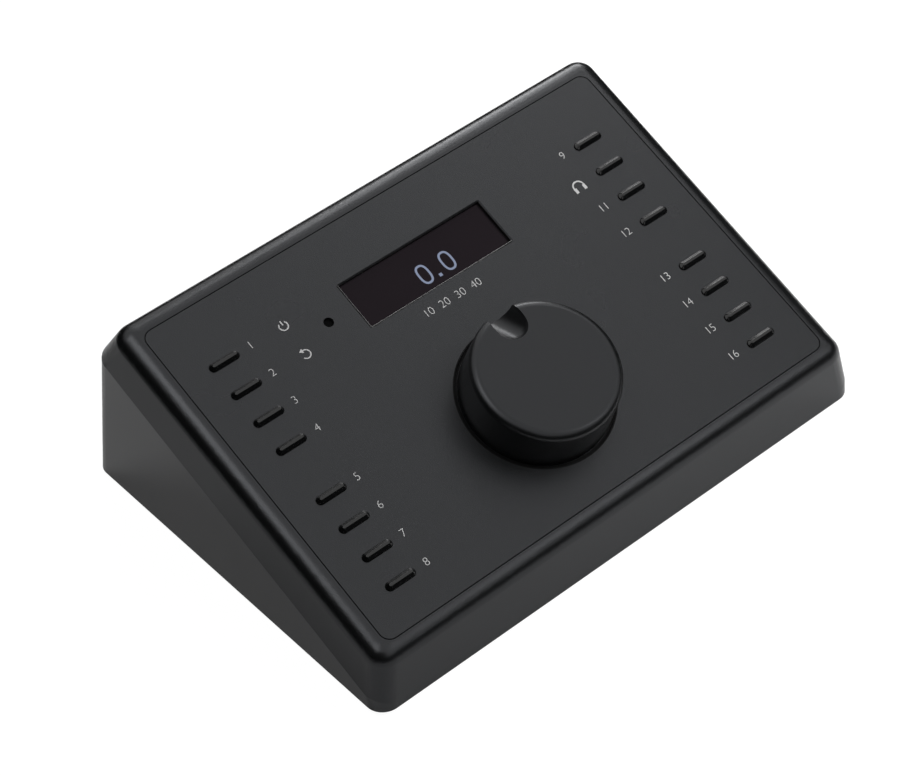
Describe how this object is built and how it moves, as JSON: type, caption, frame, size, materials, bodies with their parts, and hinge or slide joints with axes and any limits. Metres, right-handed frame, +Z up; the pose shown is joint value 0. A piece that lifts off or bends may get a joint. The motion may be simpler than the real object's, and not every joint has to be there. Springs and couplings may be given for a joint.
{
  "type": "studio monitor controller",
  "caption": "Wedge-shaped desktop controller with a sloping panel, a large volume knob, a display window, push keys and rear sockets.",
  "frame": {"origin": "on the desk, under the centre of the object's box", "axes": "+X to the user's right along the width, +Y away from the user towards the rear sockets, +Z up"},
  "size_m": [0.1766, 0.1328, 0.0669],
  "materials": {
    "housing_coat": "satin fine-textured dark grey coating",
    "dark_steel": "satin black coating",
    "screw_steel": "black zinc",
    "foot_rubber": "matt",
    "panel_coat": "satin fine-textured dark grey coating",
    "gasket": "matt",
    "window_glass": "clear dark window",
    "display_black": "matt black",
    "lens_dark": "smoked clear plastic",
    "switch_plastic": "black moulded",
    "board_green": "solder mask",
    "knob_black": "satin dark grey",
    "hub_brass": "turned",
    "bush_brass": "nickel-plated",
    "shaft_steel": "turned",
    "nut_steel": "nickel-plated",
    "rear_coat": "satin black coating",
    "socket_plastic": "black moulded",
    "usb_steel": "drawn shell",
    "shell_black": "black coated die casting",
    "jack_body": "black moulded",
    "key_black": "polished black"
  },
  "bodies": {
    "housing": {"upper_housing": "housing_coat", "base_plate": "dark_steel", "base_screws": "screw_steel", "rubber_feet": "foot_rubber", "control_panel": "panel_coat", "panel_gasket": "gasket", "display_window": "window_glass", "display_module": "display_black", "sensor_lens": "lens_dark", "sensor_diode": "display_black", "key_switches": "switch_plastic", "key_board": "board_green", "key_board_screws": "screw_steel", "encoder_body": "bush_brass", "encoder_nut": "nut_steel", "main_board": "board_green", "board_spacers": "hub_brass", "main_board_screws": "screw_steel", "rear_panel": "rear_coat", "rear_panel_screws": "screw_steel", "power_inlet": "socket_plastic", "power_pin": "nut_steel", "usb_socket": "usb_steel", "network_socket_1": "socket_plastic", "network_socket_2": "socket_plastic", "digital_input": "shell_black", "digital_input_insert": "socket_plastic", "flange_screws": "screw_steel", "line_jack_left": "jack_body", "line_jack_right": "jack_body", "headphone_jack": "jack_body", "jack_nuts": "nut_steel"},
    "plunger": {"push_cup": "switch_plastic"},
    "volume_knob": {"knob": "knob_black", "knob_hub": "hub_brass", "encoder_shaft": "shaft_steel"},
    "key_left_1": {"key_left_1": "key_black"},
    "key_left_2": {"key_left_2": "key_black"},
    "key_left_3": {"key_left_3": "key_black"},
    "key_left_4": {"key_left_4": "key_black"},
    "key_left_5": {"key_left_5": "key_black"},
    "key_left_6": {"key_left_6": "key_black"},
    "key_left_7": {"key_left_7": "key_black"},
    "key_left_8": {"key_left_8": "key_black"},
    "key_right_1": {"key_right_1": "key_black"},
    "key_right_2": {"key_right_2": "key_black"},
    "key_right_3": {"key_right_3": "key_black"},
    "key_right_4": {"key_right_4": "key_black"},
    "key_right_5": {"key_right_5": "key_black"},
    "key_right_6": {"key_right_6": "key_black"},
    "key_right_7": {"key_right_7": "key_black"},
    "key_right_8": {"key_right_8": "key_black"}
  },
  "joints": [
    {"name": "knob_press", "type": "slide", "parent": "housing", "child": "plunger", "axis": [0, 0.4067, -0.9135], "range_m": [0, 0.0005], "stiffness_N_per_m": 3000, "springref_m": -0.00015},
    {"name": "knob_turn", "type": "hinge", "parent": "plunger", "child": "volume_knob", "pos_m": [0, -0.0307, 0.03589], "axis": [0, -0.4067, 0.9135], "continuous": true},
    {"name": "key_left_1_press", "type": "slide", "parent": "housing", "child": "key_left_1", "axis": [0, 0.4067, -0.9135], "range_m": [0, 0.0005], "stiffness_N_per_m": 600},
    {"name": "key_left_2_press", "type": "slide", "parent": "housing", "child": "key_left_2", "axis": [0, 0.4067, -0.9135], "range_m": [0, 0.0005], "stiffness_N_per_m": 600},
    {"name": "key_left_3_press", "type": "slide", "parent": "housing", "child": "key_left_3", "axis": [0, 0.4067, -0.9135], "range_m": [0, 0.0005], "stiffness_N_per_m": 600},
    {"name": "key_left_4_press", "type": "slide", "parent": "housing", "child": "key_left_4", "axis": [0, 0.4067, -0.9135], "range_m": [0, 0.0005], "stiffness_N_per_m": 600},
    {"name": "key_left_5_press", "type": "slide", "parent": "housing", "child": "key_left_5", "axis": [0, 0.4067, -0.9135], "range_m": [0, 0.0005], "stiffness_N_per_m": 600},
    {"name": "key_left_6_press", "type": "slide", "parent": "housing", "child": "key_left_6", "axis": [0, 0.4067, -0.9135], "range_m": [0, 0.0005], "stiffness_N_per_m": 600},
    {"name": "key_left_7_press", "type": "slide", "parent": "housing", "child": "key_left_7", "axis": [0, 0.4067, -0.9135], "range_m": [0, 0.0005], "stiffness_N_per_m": 600},
    {"name": "key_left_8_press", "type": "slide", "parent": "housing", "child": "key_left_8", "axis": [0, 0.4067, -0.9135], "range_m": [0, 0.0005], "stiffness_N_per_m": 600},
    {"name": "key_right_1_press", "type": "slide", "parent": "housing", "child": "key_right_1", "axis": [0, 0.4067, -0.9135], "range_m": [0, 0.0005], "stiffness_N_per_m": 600},
    {"name": "key_right_2_press", "type": "slide", "parent": "housing", "child": "key_right_2", "axis": [0, 0.4067, -0.9135], "range_m": [0, 0.0005], "stiffness_N_per_m": 600},
    {"name": "key_right_3_press", "type": "slide", "parent": "housing", "child": "key_right_3", "axis": [0, 0.4067, -0.9135], "range_m": [0, 0.0005], "stiffness_N_per_m": 600},
    {"name": "key_right_4_press", "type": "slide", "parent": "housing", "child": "key_right_4", "axis": [0, 0.4067, -0.9135], "range_m": [0, 0.0005], "stiffness_N_per_m": 600},
    {"name": "key_right_5_press", "type": "slide", "parent": "housing", "child": "key_right_5", "axis": [0, 0.4067, -0.9135], "range_m": [0, 0.0005], "stiffness_N_per_m": 600},
    {"name": "key_right_6_press", "type": "slide", "parent": "housing", "child": "key_right_6", "axis": [0, 0.4067, -0.9135], "range_m": [0, 0.0005], "stiffness_N_per_m": 600},
    {"name": "key_right_7_press", "type": "slide", "parent": "housing", "child": "key_right_7", "axis": [0, 0.4067, -0.9135], "range_m": [0, 0.0005], "stiffness_N_per_m": 600},
    {"name": "key_right_8_press", "type": "slide", "parent": "housing", "child": "key_right_8", "axis": [0, 0.4067, -0.9135], "range_m": [0, 0.0005], "stiffness_N_per_m": 600}
  ]
}
